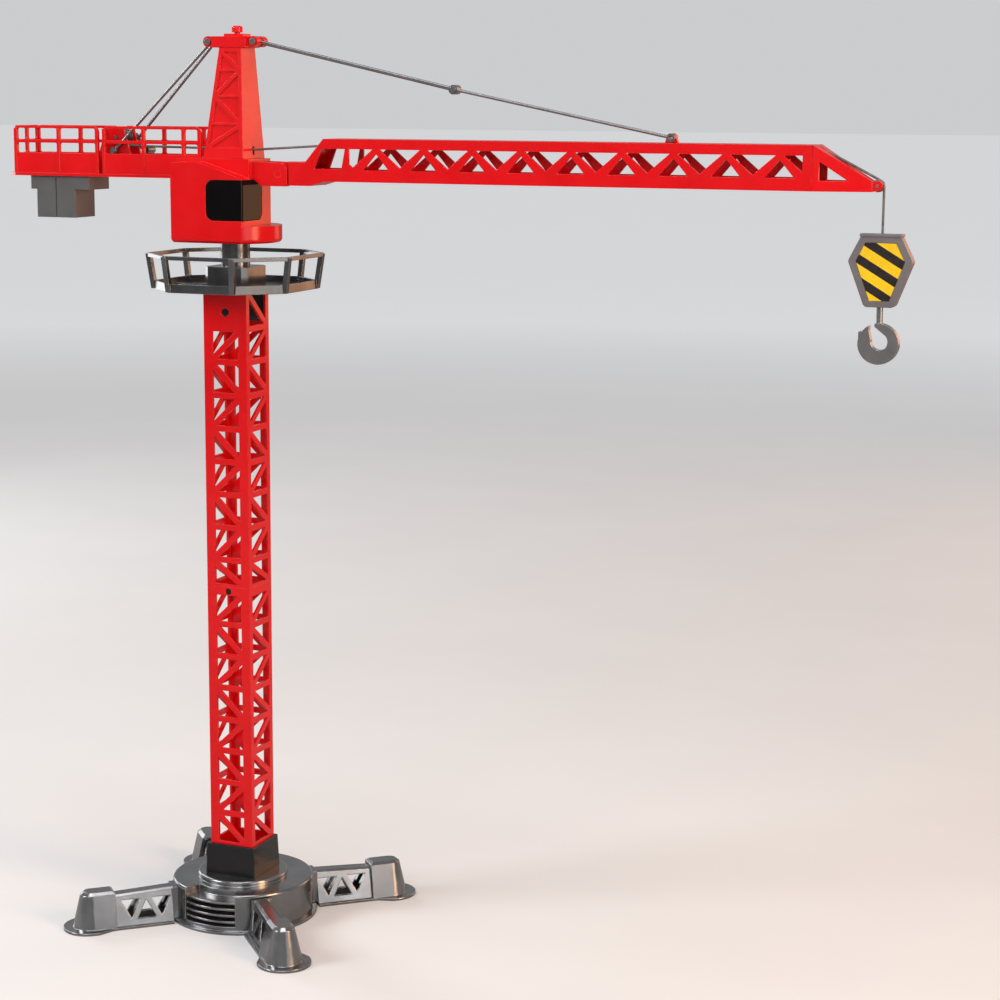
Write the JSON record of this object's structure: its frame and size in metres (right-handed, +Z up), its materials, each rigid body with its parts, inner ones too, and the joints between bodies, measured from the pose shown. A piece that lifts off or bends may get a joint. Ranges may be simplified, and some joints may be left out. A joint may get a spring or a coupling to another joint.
{
  "type": "toy tower crane",
  "caption": "Hand-worked toy tower crane: lattice mast on a four-legged base, slewing turret with cab, folding jib, counter-jib with winch, and a hoist line with a swivel hook.",
  "frame": {"origin": "mast axis at floor level, on the flat underside of the base", "axes": "+Z up along the mast, +X along the jib at rest, cab on the -Y side"},
  "size_m": [1.0212, 0.3236, 1],
  "materials": {
    "gunmetal_plastic": "satin gunmetal moulded plastic",
    "dark_plastic": "glossy near-black moulded plastic",
    "red_plastic": "glossy red moulded plastic",
    "steel": "plain screws",
    "grey_plastic": "silver grey moulded plastic",
    "weight_grey": "mid grey moulded plastic",
    "ballast_iron": "plain",
    "window_black": "high gloss black",
    "stripe_yellow": "yellow and black hazard stripes",
    "hoist_string": "twisted dark string"
  },
  "bodies": {
    "base": {"base_drum": "gunmetal_plastic", "base_cover": "gunmetal_plastic", "ballast_disc": "ballast_iron", "base_screws": "steel", "leg_front_left": "gunmetal_plastic", "leg_front_right": "gunmetal_plastic", "leg_rear_right": "gunmetal_plastic", "leg_rear_left": "gunmetal_plastic", "foot_cap_front_left": "gunmetal_plastic", "foot_cap_front_right": "gunmetal_plastic", "foot_cap_rear_right": "gunmetal_plastic", "foot_cap_rear_left": "gunmetal_plastic", "mast_socket": "dark_plastic", "mast_lower": "red_plastic", "mast_upper": "red_plastic", "mast_screws": "steel", "platform_deck": "dark_plastic", "platform_railing": "dark_plastic", "slew_hub": "dark_plastic", "slew_retainer": "dark_plastic"},
    "turret": {"turret_shell": "red_plastic", "turret_floor": "red_plastic", "cab_window": "window_black", "head_tower": "red_plastic", "head_cap": "red_plastic", "head_knob": "red_plastic", "head_pins": "grey_plastic", "counter_jib_deck": "red_plastic", "rail_near_rear": "red_plastic", "rail_near_front": "red_plastic", "rail_far_rear": "red_plastic", "rail_far_front": "red_plastic", "rail_end": "red_plastic", "counterweight_rear": "weight_grey", "counterweight_front": "weight_grey", "winch_bracket": "red_plastic", "rear_anchor_pin": "grey_plastic", "pendant_rods_rear": "grey_plastic", "jib_pivot_pin": "red_plastic", "hoist_line_winch": "hoist_string", "hoist_line_link": "hoist_string"},
    "winch": {"winch_drum": "grey_plastic", "winch_crank": "grey_plastic"},
    "crank_knob": {"crank_knob": "grey_plastic"},
    "jib": {"jib_truss": "red_plastic", "jib_nose": "red_plastic", "jib_anchor": "red_plastic", "roller_pin": "steel", "hoist_line_jib": "hoist_string"},
    "roller": {"string_roller": "grey_plastic"},
    "pendant_upper": {"pendant_rods_upper": "grey_plastic"},
    "pendant_lower": {"pendant_rods_lower": "grey_plastic", "knee_pin": "grey_plastic"},
    "hoist_fall": {"hoist_line_fall": "hoist_string"},
    "hook_block": {"hook_block_near": "weight_grey", "hook_block_far": "weight_grey", "stripe_panels": "stripe_yellow", "hook_block_cap": "weight_grey"},
    "hook": {"swivel_hook": "weight_grey"}
  },
  "joints": [
    {"name": "slew", "type": "hinge", "parent": "base", "child": "turret", "pos_m": [0, 0, 0.768], "axis": [0, 0, 1], "continuous": true},
    {"name": "jib_fold", "type": "hinge", "parent": "turret", "child": "jib", "pos_m": [0.0628, 0, 0.8434], "axis": [0, -1, 0], "range_deg": [0, 60], "deforming": ["hoist_line_link"]},
    {"name": "pendant_head", "type": "hinge", "parent": "turret", "child": "pendant_upper", "pos_m": [0.0306, 0, 0.9831], "axis": [0, -1, 0], "range_deg": [0, 109.13]},
    {"name": "pendant_knee", "type": "hinge", "parent": "pendant_upper", "child": "pendant_lower", "pos_m": [0.2605, 0, 0.933], "axis": [0, -1, 0], "range_deg": [-92.09, 0]},
    {"name": "line_hang", "type": "hinge", "parent": "jib", "child": "hoist_fall", "pos_m": [0.709, 0, 0.842], "axis": [0, -1, 0], "range_deg": [-60, 0]},
    {"name": "hoist", "type": "slide", "parent": "hoist_fall", "child": "hook_block", "axis": [0, 0, 1], "range_m": [-0.62, 0.004], "deforming": ["hoist_line_fall"]},
    {"name": "hook_swivel", "type": "hinge", "parent": "hook_block", "child": "hook", "pos_m": [0.7146, 0, 0.725], "axis": [0, 0, 1], "continuous": true},
    {"name": "winch_turn", "type": "hinge", "parent": "turret", "child": "winch", "pos_m": [-0.141, 0, 0.8795], "axis": [0, 1, 0], "continuous": true},
    {"name": "crank_knob_turn", "type": "hinge", "parent": "winch", "child": "crank_knob", "pos_m": [-0.12686, 0.036, 0.86536], "axis": [0, 1, 0], "continuous": true},
    {"name": "roller_turn", "type": "hinge", "parent": "jib", "child": "roller", "pos_m": [0.709, 0, 0.842], "axis": [0, 1, 0], "continuous": true}
  ],
  "couplings": [
    {"joint": "pendant_head", "follows": "jib_fold", "ratio": 1.818},
    {"joint": "pendant_knee", "follows": "jib_fold", "ratio": -1.5339},
    {"joint": "line_hang", "follows": "jib_fold", "ratio": -1},
    {"joint": "winch_turn", "follows": "hoist", "rad_per_m": 117.65}
  ]
}
